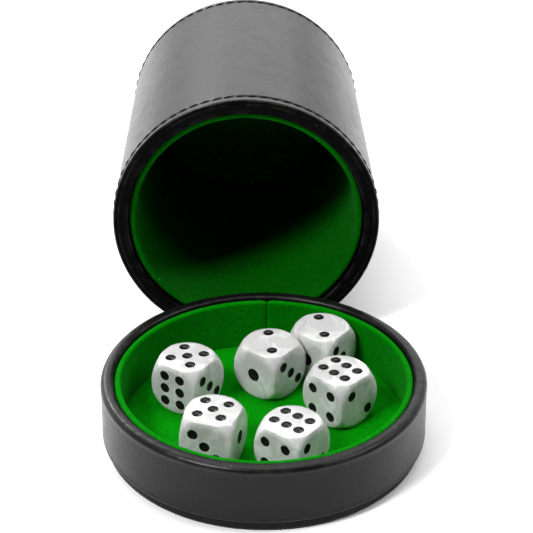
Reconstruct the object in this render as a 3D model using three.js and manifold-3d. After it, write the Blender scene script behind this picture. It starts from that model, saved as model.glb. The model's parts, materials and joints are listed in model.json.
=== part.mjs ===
// Leather dice cup: a stitched cup with a felt lining, its felt-lined lid that serves as
// a dice tray, and six dice. Millimetres, +Z up. The lid lies open side up with the middle
// of its underside at the origin, and the cup lies on its side behind it, mouth to the lid.
import * as THREE from "three";
import { mergeVertices } from "three/addons/utils/BufferGeometryUtils.js";
import Module from "manifold-3d";

const wasm = await Module();
wasm.setup();

// ---- Driving dimensions -------------------------------------------------------------

// Cup: outside sizes
const cupLength = 96.7; // rim of the mouth to the face of the base
const cupMouthD = 83.2; // outside diameter at the mouth
const cupBaseD = 77; // outside diameter at the base
const cupBoardT = 2; // wall of the board tube
const cupTurnInT = 1; // leather skived thin and turned inside the mouth
const cupTurnInDepth = 14; // how far it reaches down inside
const cupFeltT = 1.8; // felt glued inside the cup
const cupFeltRecess = 1.6; // how far the felt's edge stands back from the rim
const cupFloorFeltT = 1;

// Lid: its inside follows from the cup's mouth
const lidHeight = 21.8;
const lidSlipFit = 0.4; // all round, between the cup's mouth and the felt of the lid
const lidBoardT = 1.5;
const lidTurnInT = 0.6;
const lidFeltT = 1.8; // thick felt, rolled over at its upper edge
const lidFeltRecess = 0.8; // its upper edge below the rim
const lidFloorFeltT = 2; // two layers, as soft as the wall

// Both
const leatherT = 1.2;
const baseT = 3; // leather-covered base disc: board inside, leather outside
const baseInset = 1.2; // the base disc is smaller than the wall all round
const gap = 0.3; // between two pieces that touch
const rimEdgeR = 1; // rounding of the leather edges

// Butt seams of the felt walls, in degrees from +X of the cup or lid
const cupSeamAt = -90; // on top of the lying cup
const lidSeamAt = 88.3; // at the back

// Stitching
const stitchFromEdge = 3.4; // row to the edge of the wall leather
const threadW = 0.8;
const threadT = 0.55;
const stitchGrooveDepth = 0.6;

// Dice
const dieSize = 16;
const dieBall = 1.38; // diameter of the rounding ball, in die sizes
const pipSpread = 0.222; // corner pip from the middle of the face, in die sizes
const pipRowReach = 0.269; // half length of a row of three on the 6, in die sizes
const pipRowHalf = 0.169; // half the distance between the two rows, in die sizes
const pipD = 0.2; // in die sizes
const onePipD = 0.262; // the single pip of the 1, in die sizes
const pipDepth = 0.65;
const dieRest = 0.1; // die above the felt
const dieSpace = 0.3; // least distance to another die or to the felt wall

// How the set lies
const cupSetback = 7.9; // lid to the plane of the mouth
const cupSide = -4.9; // axis of the cup beside the middle of the lid

// The throw: middle of each die in the tray, turn of its front edge in degrees, and the
// numbers that face up and to the left front
const thrown = [
  { x: -22.7, y: 10.9, turn: -34, up: 5, front: 6 },
  { x: 2.1, y: 18.6, turn: -39.5, up: 2, front: 1 },
  { x: 18.2, y: 28.1, turn: -37, up: 2, front: 1 },
  { x: 22.6, y: 3.1, turn: -45, up: 6, front: 4 },
  { x: -14.7, y: -17.4, turn: -18.5, up: 5, front: 3 },
  { x: 7.8, y: -23.4, turn: -37.8, up: 6, front: 4 },
];

// ---- Sizes that follow ----------------------------------------------------------------

const cupMouthR = cupMouthD / 2;
const taper = (cupMouthR - cupBaseD / 2) / cupLength;
const tilt = Math.atan(taper);
const threadProud = gap + threadT - stitchGrooveDepth;

const lidTrayR = cupMouthR + lidSlipFit;
const lidFeltOuterR = lidTrayR + lidFeltT;
const lidTurnInR = lidFeltOuterR + gap;
const lidBoardR = lidTurnInR + lidTurnInT + gap;
const lidR = lidBoardR + lidBoardT + gap + leatherT;
const lidFloorTop = baseT + gap + lidFloorFeltT;

const turns = 48; // facets round each turned piece
const arcSteps = 3;
const settlePasses = 300; // rounds of nudging the dice clear of each other

// ---- Materials ------------------------------------------------------------------------

const finish = (name, color, roughness) =>
  new THREE.MeshStandardMaterial({ name, color, roughness, metalness: 0 });
const blackLeather = finish("black_leather", 0x141414, 0.42);
const greenFelt = finish("green_felt", 0x0a8a12, 0.95);
const greyBoard = finish("grey_board", 0x8c8375, 0.9);
const blackThread = finish("black_thread", 0x080808, 0.6);
const pearlAcrylic = finish("pearl_acrylic", 0xe6e6e3, 0.15);

// ---- Shape helpers --------------------------------------------------------------------

// Quarter-round corner from angle a to angle b, in degrees, about (r, z).
function corner(r, z, radius, a, b) {
  return Array.from({ length: arcSteps + 1 }, (_, i) => {
    const t = THREE.MathUtils.degToRad(a + ((b - a) * i) / arcSteps);
    return [r + radius * Math.cos(t), z + radius * Math.sin(t)];
  });
}

// A turned piece about Z from a closed outline of [radius, height] points.
function turned(outline) {
  const points = outline.map(([r, z]) => new THREE.Vector2(r, z));
  if (THREE.ShapeUtils.area(points) < 0) points.reverse();
  if (!outline.some(([r]) => r === 0)) points.push(points[0].clone());
  return new THREE.LatheGeometry(points, turns).rotateX(Math.PI / 2);
}

// A turned piece that is solid to the middle, from the outline of its outside.
function disc(outline) {
  return turned([[0, outline[0][1]], ...outline, [0, outline[outline.length - 1][1]]]);
}

function solid(geometry) {
  const bare = geometry.clone();
  for (const extra of ["normal", "uv"]) bare.deleteAttribute(extra);
  const { index, attributes } = mergeVertices(bare);
  return new wasm.Manifold(
    new wasm.Mesh({
      numProp: 3,
      vertProperties: Float32Array.from(attributes.position.array),
      triVerts: Uint32Array.from(index.array),
    }),
  );
}

function geometryOf(manifold) {
  const { vertProperties, triVerts } = manifold.getMesh();
  const geometry = new THREE.BufferGeometry();
  geometry.setAttribute("position", new THREE.BufferAttribute(vertProperties, 3));
  geometry.setIndex(new THREE.BufferAttribute(triVerts, 1));
  geometry.computeVertexNormals();
  return geometry;
}

// The two ends of a felt strip meet in a butt seam: a narrow slit down the wall on the
// side that the angle points to.
function withSeam(geometry, wallR, wallT, height, degrees) {
  const slit = new THREE.BoxGeometry(4 * wallT, gap, 3 * height);
  slit.translate(wallR, 0, height / 2).rotateZ(THREE.MathUtils.degToRad(degrees));
  return geometryOf(solid(geometry).subtract(solid(slit)));
}

function piece(name, geometry, material) {
  const mesh = new THREE.Mesh(geometry, material);
  mesh.name = name;
  return mesh;
}

// ---- Cup, standing mouth down: z is the depth from the rim of the mouth ------------------

// Radius at depth z, inset from the outside of the wall.
const cupR = (z, inset = 0) => cupMouthR - taper * z - inset;

const cupBoardInset = leatherT + gap;
const cupTurnInInset = cupBoardInset + cupBoardT + gap;
const cupFeltInset = cupTurnInInset + cupTurnInT + gap;
const cupWallEnd = cupLength - baseT - gap;
const cupFloorTop = cupWallEnd - cupFloorFeltT;
const cupLiningEnd = cupFloorTop - gap;

// A tapered sleeve from depth a to depth b, between two insets.
function sleeve(a, b, inset, thickness) {
  return turned([
    [cupR(a, inset), a],
    [cupR(a, inset + thickness), a],
    [cupR(b, inset + thickness), b],
    [cupR(b, inset), b],
  ]);
}

// Groove of the stitch row whose middle is at depth z, walked from the base to the mouth.
function stitchGroove(z) {
  const half = threadW / 2 + gap;
  return [
    [cupR(z + half), z + half],
    [cupR(z + half, stitchGrooveDepth), z + half],
    [cupR(z - half, stitchGrooveDepth), z - half],
    [cupR(z - half), z - half],
  ];
}

const cupStitchRows = {
  cup_mouth_stitching: stitchFromEdge,
  cup_base_stitching: cupWallEnd - stitchFromEdge,
};

// Outside wall, rounded rim and the leather turned inside the mouth, in one piece.
function cupWallLeather() {
  const lipR = cupR(0, cupTurnInInset + cupTurnInT);
  const lipEdge = rimEdgeR / 2;
  const outline = [
    [cupR(cupWallEnd, leatherT), cupWallEnd],
    ...corner(cupR(cupWallEnd, rimEdgeR), cupWallEnd - rimEdgeR, rimEdgeR, 90, 0),
    ...stitchGroove(cupStitchRows.cup_base_stitching),
    ...stitchGroove(cupStitchRows.cup_mouth_stitching),
    ...corner(cupMouthR - rimEdgeR, rimEdgeR, rimEdgeR, 0, -90),
    ...corner(lipR + lipEdge, lipEdge, lipEdge, -90, -180),
    [cupR(cupTurnInDepth, cupTurnInInset + cupTurnInT), cupTurnInDepth],
    [cupR(cupTurnInDepth, cupTurnInInset), cupTurnInDepth],
    [cupR(leatherT, cupTurnInInset), leatherT],
    [cupR(leatherT, leatherT), leatherT],
  ];
  return turned(outline);
}

// Leather-covered base: a shallow pan with a rounded edge that opens to the inside.
function basePan(outerR, faceZ, inward) {
  const z = (height) => faceZ + inward * height;
  const round = corner(outerR - rimEdgeR, rimEdgeR, rimEdgeR, -90, 0);
  return disc([
    ...round.map(([r, height]) => [r, z(height)]),
    [outerR, z(baseT)],
    [outerR - leatherT, z(baseT)],
    [outerR - leatherT, z(leatherT)],
  ]);
}

// Board disc that fills the pan.
function baseBoard(panR, faceZ, inward) {
  const r = panR - leatherT - gap;
  return disc([
    [r, faceZ + inward * (leatherT + gap)],
    [r, faceZ + inward * baseT],
  ]);
}

function cupFeltWall() {
  const inner = cupR(cupFeltRecess, cupFeltInset + cupFeltT);
  const roll = cupFeltT * 0.45;
  const ring = turned([
    ...corner(inner + roll, cupFeltRecess + roll, roll, 180, 270),
    ...corner(inner + cupFeltT - roll, cupFeltRecess + roll, roll, 270, 360),
    [cupR(cupLiningEnd, cupFeltInset), cupLiningEnd],
    [cupR(cupLiningEnd, cupFeltInset + cupFeltT), cupLiningEnd],
  ]);
  return withSeam(ring, inner + cupFeltT / 2, cupFeltT, cupLength, cupSeamAt);
}

// The thread of a stitch row, drawn as one ring that lies in its groove.
function thread(z) {
  const bottomR = cupR(z, stitchGrooveDepth) + gap;
  const half = threadW / 2;
  return turned([
    [bottomR, z - half],
    [bottomR + threadT, z - half],
    [bottomR + threadT, z + half],
    [bottomR, z + half],
  ]);
}

function makeCup() {
  const cup = new THREE.Group();
  const baseR = cupR(cupLength, baseInset);
  const floorR = cupR(cupWallEnd, cupTurnInInset);
  const floor = disc([
    [floorR, cupFloorTop],
    [floorR, cupWallEnd],
  ]);
  const boardTube = sleeve(leatherT + gap, cupWallEnd, cupBoardInset, cupBoardT);
  const liningCard = sleeve(cupTurnInDepth + gap, cupLiningEnd, cupTurnInInset, cupTurnInT);
  cup.add(
    piece("cup_wall_leather", cupWallLeather(), blackLeather),
    piece("cup_board_tube", boardTube, greyBoard),
    piece("cup_lining_card", liningCard, greyBoard),
    piece("cup_felt_wall", cupFeltWall(), greenFelt),
    piece("cup_felt_floor", floor, greenFelt),
    piece("cup_base_board", baseBoard(baseR, cupLength, -1), greyBoard),
    piece("cup_base_leather", basePan(baseR, cupLength, -1), blackLeather),
  );
  for (const [name, z] of Object.entries(cupStitchRows)) {
    cup.add(piece(name, thread(z), blackThread));
  }
  // Lies on the floor along its wall, with the stitches just touching.
  cup.rotation.x = -(Math.PI / 2 + tilt);
  cup.position.set(cupSide, lidR + cupSetback, cupMouthR * Math.cos(tilt) + threadProud);
  return cup;
}

// ---- Lid, lying open side up as a tray: z is the height above the table --------------------

function lidWallLeather() {
  const foot = baseT + gap;
  const lipEdge = rimEdgeR / 2;
  const lipEnd = lidFloorTop + gap;
  return turned([
    [lidR - leatherT, foot],
    ...corner(lidR - rimEdgeR, foot + rimEdgeR, rimEdgeR, -90, 0),
    ...corner(lidR - rimEdgeR, lidHeight - rimEdgeR, rimEdgeR, 0, 90),
    ...corner(lidTurnInR + lipEdge, lidHeight - lipEdge, lipEdge, 90, 180),
    [lidTurnInR, lipEnd],
    [lidTurnInR + lidTurnInT, lipEnd],
    [lidTurnInR + lidTurnInT, lidHeight - leatherT],
    [lidR - leatherT, lidHeight - leatherT],
  ]);
}

function lidBoardRing() {
  const top = lidHeight - leatherT - gap;
  return turned([
    [lidBoardR, baseT + gap],
    [lidBoardR + lidBoardT, baseT + gap],
    [lidBoardR + lidBoardT, top],
    [lidBoardR, top],
  ]);
}

function lidFeltWall() {
  const top = lidHeight - lidFeltRecess;
  const roll = lidFeltT * 0.45;
  const ring = turned([
    [lidTrayR, lidFloorTop + gap],
    [lidFeltOuterR, lidFloorTop + gap],
    ...corner(lidFeltOuterR - roll, top - roll, roll, 0, 90),
    ...corner(lidTrayR + roll, top - roll, roll, 90, 180),
  ]);
  return withSeam(ring, lidTrayR + lidFeltT / 2, lidFeltT, lidHeight, lidSeamAt);
}

function makeLid() {
  const lid = new THREE.Group();
  const baseR = lidR - baseInset;
  const floorR = lidBoardR - gap;
  const floor = disc([
    [floorR, baseT + gap],
    [floorR, lidFloorTop],
  ]);
  lid.add(
    piece("lid_wall_leather", lidWallLeather(), blackLeather),
    piece("lid_board_ring", lidBoardRing(), greyBoard),
    piece("lid_felt_wall", lidFeltWall(), greenFelt),
    piece("lid_felt_floor", floor, greenFelt),
    piece("lid_base_board", baseBoard(baseR, 0, 1), greyBoard),
    piece("lid_base_leather", basePan(baseR, 0, 1), blackLeather),
  );
  return lid;
}

// ---- Dice -------------------------------------------------------------------------------

// Which way each number faces on a die whose 5 is up.
const facing = {
  1: [-1, 0, 0],
  2: [0, 0, -1],
  3: [0, 1, 0],
  4: [0, -1, 0],
  5: [0, 0, 1],
  6: [1, 0, 0],
};
const direction = (number) => new THREE.Vector3(...facing[number]);

// Pips of a number as [u, v] on its face, u and v being the two axes the face lies along.
function pipsOf(number) {
  const a = pipSpread * dieSize;
  const four = [[a, a], [a, -a], [-a, a], [-a, -a]];
  const layout = {
    1: [[0, 0]],
    2: [four[1], four[2]],
    3: [four[0], [0, 0], four[3]],
    4: four,
    5: [...four, [0, 0]],
    6: [-1, 0, 1].flatMap((k) =>
      [1, -1].map((side) => [side * pipRowHalf * dieSize, k * pipRowReach * dieSize]),
    ),
  };
  return layout[number];
}

function pipCutter(number, [u, v]) {
  const r = (dieSize * (number === 1 ? onePipD : pipD)) / 2;
  const ballR = (r * r + pipDepth * pipDepth) / (2 * pipDepth);
  const ball = new THREE.SphereGeometry(ballR, 8, 7);
  const normal = direction(number);
  const axes = [0, 1, 2].filter((axis) => normal.getComponent(axis) === 0);
  const middle = normal.multiplyScalar(dieSize / 2 - pipDepth + ballR);
  middle.setComponent(axes[0], u);
  middle.setComponent(axes[1], v);
  return solid(ball.translate(...middle));
}

function dieGeometry() {
  const cube = solid(new THREE.BoxGeometry(dieSize, dieSize, dieSize));
  const ball = solid(new THREE.SphereGeometry((dieSize * dieBall) / 2, 20, 10));
  const pips = Object.keys(facing).flatMap((key) => {
    const number = Number(key);
    return pipsOf(number).map((at) => pipCutter(number, at));
  });
  return geometryOf(pips.reduce((die, pip) => die.subtract(pip), cube.intersect(ball)));
}

// Directions that a die's left-front and right-front faces look, from above.
function frontsOf({ turn }) {
  const t = THREE.MathUtils.degToRad(turn);
  const right = new THREE.Vector2(Math.cos(t), Math.sin(t));
  return [new THREE.Vector2(right.y, -right.x), right];
}

// Pushes two dice apart across the face that parts them best.
function partDice(a, b) {
  const spin = THREE.MathUtils.degToRad(a.turn - b.turn);
  const half = (dieSize + dieSpace) / 2;
  const reach = half * (1 + Math.abs(Math.cos(spin)) + Math.abs(Math.sin(spin)));
  const apart = b.at.clone().sub(a.at);
  const along = (axis) => apart.dot(axis);
  const axes = [...frontsOf(a), ...frontsOf(b)];
  const axis = axes.reduce((p, q) => (Math.abs(along(q)) > Math.abs(along(p)) ? q : p));
  const overlap = reach - Math.abs(along(axis));
  if (overlap <= 0) return;
  const move = axis.clone().multiplyScalar((Math.sign(along(axis)) * overlap) / 2);
  a.at.sub(move);
  b.at.add(move);
}

// Pushes a die in from the felt wall, corner by corner.
function keepInTray(die) {
  const [left, right] = frontsOf(die);
  const cornerR = (dieSize * dieBall) / 2;
  const limit = lidTrayR - dieSpace;
  for (const [u, v] of [[1, 1], [1, -1], [-1, 1], [-1, -1]]) {
    const reach = left.clone().multiplyScalar(u).addScaledVector(right, v).setLength(cornerR);
    const edge = die.at.clone().add(reach);
    const over = edge.length() - limit;
    if (over > 0) die.at.sub(edge.setLength(over));
  }
}

// Nudges the throw until no two dice touch and all are clear of the felt wall.
function settled(dice) {
  const placed = dice.map((die) => ({ ...die, at: new THREE.Vector2(die.x, die.y) }));
  for (let pass = 0; pass < settlePasses; pass += 1) {
    placed.forEach((a, i) => placed.slice(i + 1).forEach((b) => partDice(a, b)));
    placed.forEach(keepInTray);
  }
  return placed;
}

// Turns a die so that its two named numbers face up and to the left front.
function turnOf({ turn, up, front }) {
  const [left, right] = frontsOf({ turn }).map(({ x, y }) => new THREE.Vector3(x, y, 0));
  const top = new THREE.Vector3(0, 0, 1);
  const onDie = new THREE.Matrix4().makeBasis(
    direction(front),
    direction(up).cross(direction(front)),
    direction(up),
  );
  return new THREE.Matrix4().makeBasis(left, right, top).multiply(onDie.transpose());
}

function makeDice() {
  const dice = new THREE.Group();
  const geometry = dieGeometry();
  settled(thrown).forEach((die, i) => {
    const mesh = piece(`die_${i + 1}`, geometry, pearlAcrylic);
    mesh.quaternion.setFromRotationMatrix(turnOf(die));
    mesh.position.set(die.at.x, die.at.y, lidFloorTop + dieRest + dieSize / 2);
    dice.add(mesh);
  });
  return dice;
}

// ---- The set ----------------------------------------------------------------------------

const set = new THREE.Group();
set.add(makeLid(), makeDice(), makeCup());

export default set;
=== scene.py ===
# %% [markdown]
# # A leather dice cup, its lid and six dice
#
# The real set is a stitched leather cup that lies on its side, a felt-lined lid that lies open
# as a tray, and six pearl dice. A CAD model already holds the sizes, the places and the joints.
# This lesson loads that model as a fixed frame and gives each visible piece its true surface.
# Nothing is moved: every new mesh takes its place from the CAD piece that it stands for.

# %% Load the frame
import json
import math

import bmesh
import bpy
import numpy as np
from mathutils import Matrix, Vector, noise


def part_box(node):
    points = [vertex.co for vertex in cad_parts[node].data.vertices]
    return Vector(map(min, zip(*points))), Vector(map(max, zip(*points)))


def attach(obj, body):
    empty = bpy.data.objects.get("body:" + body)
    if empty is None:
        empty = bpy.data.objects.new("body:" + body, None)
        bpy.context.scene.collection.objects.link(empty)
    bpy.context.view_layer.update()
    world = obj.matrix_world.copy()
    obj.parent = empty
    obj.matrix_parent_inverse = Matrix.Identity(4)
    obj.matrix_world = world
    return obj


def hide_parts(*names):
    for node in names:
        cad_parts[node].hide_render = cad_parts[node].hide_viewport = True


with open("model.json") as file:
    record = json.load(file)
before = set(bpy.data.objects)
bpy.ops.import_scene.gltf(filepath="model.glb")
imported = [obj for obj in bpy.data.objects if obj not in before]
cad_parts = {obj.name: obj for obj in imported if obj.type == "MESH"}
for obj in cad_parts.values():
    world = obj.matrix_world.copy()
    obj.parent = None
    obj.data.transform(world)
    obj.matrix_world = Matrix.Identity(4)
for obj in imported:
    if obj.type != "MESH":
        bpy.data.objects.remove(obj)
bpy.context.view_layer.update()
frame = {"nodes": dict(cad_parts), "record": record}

MM = 0.001

# %% [markdown]
# ## Measuring turned pieces
#
# The cup and the lid are turned shapes, so each piece is known by its radius at each height.
# We could type those sizes again, but then the two models could drift apart. It is safer to
# read them from the CAD corners. The lid turns about the upright axis at the origin. The cup
# lies tilted, so it gets a matrix of its own: its Z runs from the mouth to the base, and its Y
# points down at the table.

# %% The two axes
lid_place = Matrix.Identity(4)
base_mount = next(m for m in frame["record"]["mounts"] if m["name"] == "cup_underside")
cup_axis = Vector(base_mount["axis"]).normalized()


def standing_on(origin, up):
    """A place whose Z runs along up and whose X is level."""
    across = Vector((1, 0, 0))
    columns = Matrix((across, up.cross(across), up)).transposed()
    return Matrix.Translation(origin) @ columns.to_4x4()


def corners_of(node, place):
    """Radius and height of each corner of a CAD node about a place's Z, in millimetres."""
    back = place.inverted()
    local = [back @ v.co for v in frame["nodes"][node].data.vertices]
    return np.array([(math.hypot(c.x, c.y), c.z) for c in local]) / MM


cup_place = standing_on(Vector(base_mount["pos_m"]), cup_axis)
mouth = corners_of("cup_wall_leather", cup_place)[:, 1].min()
cup_place = cup_place @ Matrix.Translation((0, 0, mouth * MM))
print(f"cup: {-mouth:.1f} mm long, tilted {math.degrees(math.asin(-cup_axis.z)):.2f} degrees")


# %% Radii and heights of the CAD pieces
def heights(node, place):
    """Lowest and highest corner."""
    z = corners_of(node, place)[:, 1]
    return z.min(), z.max()


def radii(node, place, low=-1e9, high=1e9):
    """Smallest and largest radius of the corners between two heights."""
    r, z = corners_of(node, place).T
    between = r[(z >= low) & (z <= high)]
    return between.min(), between.max()


mouth_row = np.mean(heights("cup_mouth_stitching", cup_place))
base_row = np.mean(heights("cup_base_stitching", cup_place))
wall_end = heights("cup_wall_leather", cup_place)[1]
GROOVE_REACH = 1.5
mouth_side_r = radii("cup_wall_leather", cup_place, mouth_row, mouth_row + GROOVE_REACH)[1]
base_side_r = radii("cup_wall_leather", cup_place, base_row - GROOVE_REACH, base_row)[1]
cup_taper = (mouth_side_r - base_side_r) / (base_row - mouth_row)


def cup_r(z, inset=0.0):
    """Outside radius of the cup at a depth from the mouth, less an inset."""
    return mouth_side_r - cup_taper * (z - mouth_row) - inset


lid_low, lid_high = heights("lid_wall_leather", lid_place)
lid_r = radii("lid_wall_leather", lid_place)[1]
print(f"cup radius {cup_r(0):.1f} to {cup_r(wall_end):.1f} mm, stitch rows at {mouth_row:.1f} "
      f"and {base_row:.1f} mm; lid radius {lid_r:.1f} mm, wall {lid_low:.1f} to {lid_high:.1f} mm")

# %% [markdown]
# ## A lathe for detailed outlines
#
# Blender's Screw modifier turns an outline, but it can't vary the surface on the way round.
# Leather has creases and stitches pull it in, so we turn the outline ourselves. `revolve` lays
# a copy of the outline at each angle, pushes its points out or in by a `relief` function, and
# closes the mesh. It also stores how sharply each point bends outwards in an attribute called
# `edge`, which the materials later use to find the places that wear.


# %% Outline helpers
def arc(r, z, radius, start, end, steps=8):
    """Points of an arc about (r, z), with its angles in degrees."""
    angles = np.radians(np.linspace(start, end, steps + 1))
    return [(r + radius * math.cos(a), z + radius * math.sin(a)) for a in angles]


def straight(a, b, spacing):
    """Points from a to b, about a spacing apart, without b."""
    steps = max(1, round(math.dist(a, b) / spacing))
    return [tuple(np.add(a, np.subtract(b, a) * i / steps)) for i in range(steps)]


def bend_of(outline):
    """How far each point of a clockwise outline turns outwards, in turns per millimetre."""
    p = np.array(outline)
    ahead, behind = np.roll(p, -1, 0) - p, p - np.roll(p, 1, 0)
    cross = behind[:, 0] * ahead[:, 1] - behind[:, 1] * ahead[:, 0]
    turn = np.arctan2(-cross, (ahead * behind).sum(1))
    length = (np.linalg.norm(ahead, axis=1) + np.linalg.norm(behind, axis=1)) / 2
    return turn / np.maximum(length, 1e-6)


def outward(outline):
    """Unit normal of each point of a clockwise outline, in radius and height."""
    p = np.array(outline)
    along = np.roll(p, -1, 0) - np.roll(p, 1, 0)
    normal = np.stack([-along[:, 1], along[:, 0]], 1)
    return normal / np.maximum(np.linalg.norm(normal, axis=1), 1e-9)[:, None]


# %% The lathe
SHARP = math.radians(50)


def clockwise(outline):
    r, z = np.array(outline).T
    area = (r * np.roll(z, -1) - np.roll(r, -1) * z).sum()
    return outline if area < 0 else outline[::-1]


def mesh_object(name, verts, faces, place):
    """A smooth mesh object whose corners are placed in the frame, itself at the origin."""
    mesh = bpy.data.meshes.new(name)
    mesh.from_pydata([place @ Vector(v * MM) for v in verts], [], faces)
    body = bpy.data.objects.new(name, mesh)
    bpy.context.collection.objects.link(body)
    mesh.shade_smooth()
    mesh.set_sharp_from_angle(angle=SHARP)
    return body


def revolve(name, outline, place, steps, relief=None, seam=None):
    """Turns an outline of (radius, height) about a place's Z. relief(angle, r, z) pushes a
    point out, in millimetres. seam = (angle, width) leaves a gap of that width there."""
    outline = clockwise(outline)
    normals, bend = outward(outline), bend_of(outline)
    count = len(outline)
    if seam:
        half = seam[1] / 2 / max(r for r, _ in outline)
        angles = seam[0] + np.linspace(half, 2 * math.pi - half, steps)
    else:
        angles = np.arange(steps) * 2 * math.pi / steps
    verts, edge = [], []
    for angle in angles:
        for (r, z), (nr, nz), b in zip(outline, normals, bend):
            push = relief(angle, r, z) if relief and r > 0 else 0.0
            radius = max(r + nr * push, 0.0) if r > 0 else 0.0
            verts.append((radius * math.cos(angle), radius * math.sin(angle), z + nz * push))
            edge.append(min(max(b, 0.0), 1.0))
    last = steps - 1 if seam else steps
    faces = [
        (i + j * count, (i + 1) % count + j * count,
         (i + 1) % count + (j + 1) % steps * count, i + (j + 1) % steps * count)
        for j in range(last) for i in range(count)
    ]
    if seam:
        faces += [tuple(reversed(range(count))), tuple(range(last * count, steps * count))]
    body = mesh_object(name, np.array(verts), faces, place)
    body.data.attributes.new("edge", "FLOAT", "POINT").data.foreach_set("value", edge)
    close_poles(body)
    return body


def close_poles(body):
    """Welds the points that meet on the axis, and the faces that shrank with them."""
    work = bmesh.new()
    work.from_mesh(body.data)
    bmesh.ops.remove_doubles(work, verts=work.verts, dist=1e-7)
    bmesh.ops.dissolve_degenerate(work, edges=work.edges, dist=1e-8)
    work.to_mesh(body.data)
    work.free()


def swell(angle, r, z, size, seed=0.0):
    """Smooth unevenness from -1 to 1 that changes over about this many millimetres."""
    at = Vector((r * math.cos(angle), r * math.sin(angle), z + seed)) / size
    return noise.noise(at)


# %% [markdown]
# ## Shader groups that the materials share
#
# Four effects turn up in more than one finish: the grain of leather, the tangle of fibres in
# felt, thread and board, the wear along edges, and a little dust. Each is a node group, made
# once and used with different values. A group puts out only heights and masks, which vary over
# the surface. The shader itself and all its constant values stay in the material.


# %% Helpers for node trees
def add_node(tree, kind, **values):
    """Adds a node. A name that is a socket's is set there, and any other on the node."""
    made = tree.nodes.new(kind)
    for name, value in values.items():
        if hasattr(made, name):
            setattr(made, name, value)
        else:
            made.inputs[name.replace("_", " ")].default_value = value
    return made


def math_node(tree, operation, a, b=None, c=None, clamp=False):
    """A Math node with each input a number or a socket, and its result."""
    made = add_node(tree, "ShaderNodeMath", operation=operation, use_clamp=clamp)
    for socket, value in zip(made.inputs, (a, b, c)):
        if isinstance(value, bpy.types.NodeSocket):
            tree.links.new(value, socket)
        elif value is not None:
            socket.default_value = value
    return made.outputs[0]


def ramp(tree, value, low, high, to_low=0.0, to_high=1.0):
    """A smooth step of a value between low and high."""
    made = add_node(tree, "ShaderNodeMapRange", interpolation_type="SMOOTHSTEP")
    for socket, number in zip(made.inputs[1:5], (low, high, to_low, to_high)):
        socket.default_value = number
    tree.links.new(value, made.inputs[0])
    return made.outputs[0]


def noise_of(tree, place, scale, detail=3.0, roughness=0.5, distortion=0.0):
    """A noise texture's value at a place, with a scale that is a number or a socket."""
    made = add_node(tree, "ShaderNodeTexNoise", Detail=detail, Roughness=roughness,
                    Distortion=distortion)
    tree.links.new(place, made.inputs["Vector"])
    if isinstance(scale, bpy.types.NodeSocket):
        tree.links.new(scale, made.inputs["Scale"])
    else:
        made.inputs["Scale"].default_value = scale
    return made.outputs["Fac"]


def new_group(name, inputs, outputs):
    """An empty node group with float or vector inputs and their default values."""
    group = bpy.data.node_groups.new(name, "ShaderNodeTree")
    for label, value in inputs.items():
        kind = "NodeSocketVector" if value is None else "NodeSocketFloat"
        socket = group.interface.new_socket(label, in_out="INPUT", socket_type=kind)
        if value is not None:
            socket.default_value = value
    for label in outputs:
        group.interface.new_socket(label, in_out="OUTPUT", socket_type="NodeSocketFloat")
    return group, group.nodes.new("NodeGroupInput").outputs, group.nodes.new("NodeGroupOutput")


# %% [markdown]
# ### Leather grain
#
# Leather is covered in small pebbles with creases between them, and stretched hide also has
# long soft wrinkles. A Voronoi texture gives the pebbles, fine noise roughens their tops, and
# the wrinkles are the places where a slow noise passes its middle value.

# %% Group: leather grain
grain, given, out = new_group(
    "leather_grain", {"Place": None, "Pebbles per metre": 1100.0, "Wrinkling": 0.5},
    ["Height", "Crease"])
pebble = add_node(grain, "ShaderNodeTexVoronoi", feature="SMOOTH_F1", Smoothness=0.6)
grain.links.new(given["Place"], pebble.inputs["Vector"])
grain.links.new(given["Pebbles per metre"], pebble.inputs["Scale"])
pore_scale = math_node(grain, "MULTIPLY", given["Pebbles per metre"], 2.6)
pores = noise_of(grain, given["Place"], pore_scale, detail=4.0)
slow = noise_of(grain, given["Place"], 95.0, detail=4.0, distortion=1.2)
off_middle = math_node(grain, "ABSOLUTE", math_node(grain, "SUBTRACT", slow, 0.5))
wrinkle = ramp(grain, off_middle, 0.0, 0.045, 1.0, 0.0)
crease = math_node(grain, "MULTIPLY", wrinkle, given["Wrinkling"])
rounded = math_node(grain, "MULTIPLY", pebble.outputs["Distance"], -0.9)
height = math_node(grain, "MULTIPLY_ADD", pores, 0.35, rounded)
height = math_node(grain, "SUBTRACT", height, math_node(grain, "MULTIPLY", crease, 0.8))
grain.links.new(height, out.inputs["Height"])
grain.links.new(crease, out.inputs["Crease"])

# %% [markdown]
# ### Fibres
#
# Felt has no weave: its fibres lie in all directions. Three noises, each squeezed along its own
# axis, look like three layers of short fibres. The highest of them wins at each point, as the
# uppermost fibre would.

# %% Group: tangled fibres
fibres, given, out = new_group(
    "tangled_fibres", {"Place": None, "Fibres per metre": 2200.0, "Clumping": 0.5},
    ["Height", "Shade"])
layers = []
for turned_by, squeeze in ((0.3, (1, 0.16, 0.5)), (1.4, (0.5, 1, 0.16)), (2.4, (0.16, 0.5, 1))):
    lay = add_node(fibres, "ShaderNodeMapping")
    lay.inputs["Rotation"].default_value = (turned_by, turned_by * 0.7, turned_by * 1.3)
    lay.inputs["Scale"].default_value = squeeze
    fibres.links.new(given["Place"], lay.inputs["Vector"])
    layers.append(noise_of(fibres, lay.outputs[0], given["Fibres per metre"], detail=2.0))
top = math_node(fibres, "MAXIMUM", math_node(fibres, "MAXIMUM", *layers[:2]), layers[2])
clumps = noise_of(fibres, given["Place"], 260.0, detail=3.0)
clumped = math_node(fibres, "MULTIPLY", clumps, given["Clumping"])
fibres.links.new(math_node(fibres, "ADD", top, clumped), out.inputs["Height"])
shade = math_node(fibres, "MULTIPLY_ADD", clumped, 0.6, ramp(fibres, top, 0.4, 0.8))
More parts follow.
